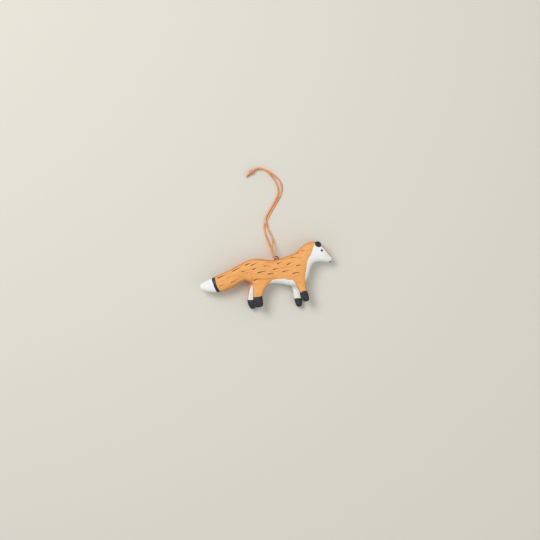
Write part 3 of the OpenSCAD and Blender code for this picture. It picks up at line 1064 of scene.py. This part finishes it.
# The pad is wide in front and narrow behind.
middles, _ = faces_of(nose)
select_faces(nose, middles[:, 0] < nose_low.x / MM + NOSE_HEEL)
bpy.ops.object.mode_set(mode="EDIT")
bpy.ops.transform.resize(value=NOSE_SQUEEZE, center_override=nose_middle,
                         use_proportional_edit=True, proportional_edit_falloff="SMOOTH",
                         proportional_size=NOSE_REACH * MM)
close()
settle(nose, "fox", "nose", "black_wood", PAINTS["black"])
print("the nose measures", [round(v / MM, 2) for v in nose.dimensions])

# %% [markdown]
# ## Screw eye
#
# A screw eye is one wire: a threaded shank that is bent round into a ring until its end nearly
# closes on itself. A torus on a cylinder would close all the way and meet in a seam. So the ring and
# the straight part are one curve with a round bevel, and the thread is a thin helix round the shank,
# down in the wood.

# %% Bend the wire
# The ring begins and ends at the angles of RING_SPAN, in degrees from its foot, and bends out of the
# straight shank over the length of NECK.
RING_AT = (9.6, 15.2)
RING_R = 1.8
RING_SPAN = (8, 344)
RING_POINTS = 72
NECK = 0.5
WIRE_D = 0.8
SHANK_END = 2.6
SHANK_POINTS = 12
STEEL_DARK = shade(62, 56, 50)
STEEL_WORN = shade(108, 98, 86)


def dark_steel():
    finish = Finish("dark_steel", roughness=0.42, Metallic=0.85)
    wear = finish.noise(finish.place(), scale=600.0, detail=3.0, rough=0.6)
    finish.feed("Base Color", finish.mix(wear.between(0.45, 0.7), STEEL_DARK, STEEL_WORN))
    finish.bump(wear, depth=0.03)
    return finish.material


STEEL = dark_steel()


def screw_eye_wire():
    """Straight up out of the wood, then round the ring from below and nearly back to where it began."""
    x, y = RING_AT
    straight = [[x, h, MID_Z] for h in np.linspace(SHANK_END, y - RING_R - NECK, SHANK_POINTS)]
    ring = [[x + RING_R * math.sin(a), y - RING_R * math.cos(a), MID_Z]
            for a in np.radians(np.linspace(*RING_SPAN, RING_POINTS))]
    return np.array(straight + ring) * MM


wire = as_mesh(tube("screw_eye_wire", screw_eye_wire(), WIRE_D * MM, roundness=5))
settle(wire, "fox", "screw_eye", "dark_steel", STEEL, smooth_below=50)
print("the screw eye measures", [round(v / MM, 1) for v in wire.dimensions], "mm")

# %% Cut the thread
THREAD_D = 0.3
THREAD_R = 0.55
THREAD_PITCH = 0.7
THREAD_TURNS = 8
THREAD_START = SHANK_END + 0.6
POINTS_PER_TURN = 24


def thread_helix():
    """A helix round the shank, from near its end towards the ring."""
    turns = np.linspace(0, math.tau * THREAD_TURNS, POINTS_PER_TURN * THREAD_TURNS)
    return np.array([[RING_AT[0] + THREAD_R * math.cos(a), THREAD_START + THREAD_PITCH * a / math.tau,
                      MID_Z + THREAD_R * math.sin(a)] for a in turns]) * MM


thread = as_mesh(tube("screw_eye_thread", thread_helix(), THREAD_D * MM, roundness=2))
thread.data.materials.append(STEEL)
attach(thread, "fox")
print("the thread has", THREAD_TURNS, "turns")

# %% [markdown]
# ## Leather, the knot and its tails
#
# The cord is vegetable-tanned leather: warm tan, a little glossy, with pale stretched places and
# darker ones where it was handled, and fine creases all over. The knot is the same cord twice over:
# both strands run in, wrap once round themselves and leave as two short tails. Tracing its whole
# course would hide most of the work inside it. Two slanting wraps round the doubled cord show the same
# outline, and a formula makes them.

# %% Leather
TAN = shade(218, 143, 90)
TAN_PALE = shade(239, 168, 114)
TAN_CREASED = shade(180, 108, 64)


def tan_leather():
    finish = Finish("tan_leather", roughness=0.5, IOR=1.45)
    place = finish.place()
    tone = finish.noise(place, scale=120.0, detail=3.0, rough=0.6)
    creases = finish.noise(place, scale=1500.0, detail=3.0, rough=0.6)
    colour = finish.mix(tone.between(0.35, 0.65), TAN, TAN_PALE)
    colour = finish.mix(creases.between(0.55, 0.85) * 0.4, colour, TAN_CREASED)
    finish.feed("Base Color", colour)
    finish.bump(creases * 0.6 + tone * 0.4, depth=0.08)
    return finish.material


LEATHER = tan_leather()

# %% The knot
# A wrap is given by its place along the cord and the angle it starts at, in radians. Its ends are
# drawn in to TUCK of its radius, so that they are hidden, and TUCK_RISE is how fast it comes out.
KNOT_AT = (-13, 94.2, 2.05)
KNOT_TURN = 38
WRAPS = ((-0.85, 3.6), (0.75, 4.4))
WRAP_TURNS = 1.3
WRAP_R = 1.3
WRAP_RUN = 0.9
WRAP_SLANT = 0.45
TUCK = 0.35
TUCK_RISE = 5
WRAP_POINTS = 90


def knot_strand(shift, spin):
    """One slanting turn and a bit round the doubled cord, with both its ends tucked in."""
    wrap = []
    for t in np.linspace(0, 1, WRAP_POINTS):
        a = spin + math.tau * WRAP_TURNS * t
        r = min(1, TUCK + TUCK_RISE * t, TUCK + TUCK_RISE * (1 - t))
        wrap.append([shift + WRAP_SLANT * math.sin(a) + WRAP_RUN * (t - 0.5),
                     WRAP_R * r * math.cos(a), WRAP_R * r * math.sin(a)])
    return np.array(wrap)


turn = math.radians(KNOT_TURN)
along_cord = [math.cos(turn), math.sin(turn), 0]
across_cord = [-math.sin(turn), math.cos(turn), 0]
wraps = []
for k, (shift, spin) in enumerate(WRAPS):
    path = np.array(KNOT_AT) + knot_strand(shift, spin) @ np.array([along_cord, across_cord, [0, 0, 1]])
    wraps.append(as_mesh(tube(f"knot_strand_{k}", path * MM, CORD_D * MM)))
knot = join(wraps, "cord_knot_tied")

# The table keeps the underside flat.
flat = points_of(knot)
flat[:, 2] = np.maximum(flat[:, 2], 0)
place_points(knot, flat)
settle(knot, "hanger", "cord_knot", "tan_leather", LEATHER, smooth_below=60)
print("the knot measures", [round(v / MM, 1) for v in knot.dimensions], "mm")

# %% The tails
ends = []
for name, route in (("long_tail", LONG_TAIL_ROUTE), ("short_tail", SHORT_TAIL_ROUTE)):
    path = lay_out(route)
    ends.append(as_mesh(tube(name, path, CORD_D * MM)))
    print(f"{name}: {length_of(path) / MM:.1f} mm of cord")
tails = join(ends, "cord_tails_cut")
settle(tails, "hanger", "cord_tails", "tan_leather", LEATHER, smooth_below=60)

for name, node in (("cord_front", "cord_front_strand"), ("cord_back", "cord_back_strand")):
    strand = strands[name]
    settle(strand, "hanger", node, "tan_leather", LEATHER)
    [knot, tails] if name == "cord_front" else [knot]

# %% [markdown]
# ## Floor and light
#
# The floor is plain, pale and matt. Light comes from a big soft lamp up and to the left, as the short
# shadows right of the cord and under the belly show, with the world filling in. The view transform is
# the plain one: a colour renders about as it is written.

# %% Floor
FLOOR_SIDE_M = 6
FLOOR_PALE = shade(217, 214, 203)

bpy.ops.object.select_all(action="DESELECT")
bpy.ops.mesh.primitive_plane_add(size=FLOOR_SIDE_M, location=(0, 0, 0))
floor = bpy.context.object
floor.name = "floor"
paper = Finish("floor_paint", roughness=0.9, Base_Color=FLOOR_PALE)
floor.data.materials.append(paper.material)
floor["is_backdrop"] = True

# %% Light
WORLD_STRENGTH = 0.55

world = bpy.data.worlds.new("studio")
world.use_nodes = True
background = world.node_tree.nodes["Background"]
background.inputs["Color"].default_value = (1, 1, 1, 1)
background.inputs["Strength"].default_value = WORLD_STRENGTH
scene.world = world


def soft_lamp(name, place, size, watts):
    """A round lamp that looks at the fox. Its place and size are in metres."""
    lamp = bpy.data.lights.new(name, "AREA")
    lamp.shape = "DISK"
    lamp.size = size
    lamp.energy = watts
    holder = bpy.data.objects.new(name, lamp)
    holder.location = place
    holder.rotation_euler = (-Vector(place)).to_track_quat("-Z", "Y").to_euler()
    scene.collection.objects.link(holder)


soft_lamp("key", (-0.55, 0.5, 1.1), size=0.7, watts=9.0)
soft_lamp("fill", (0.9, -0.5, 1.0), size=1.2, watts=2.5)
scene.view_settings.view_transform = "Standard"

# %% Sizes and the end
low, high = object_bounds()
print("visual box", [round(v / MM, 2) for v in (*low, *high)])
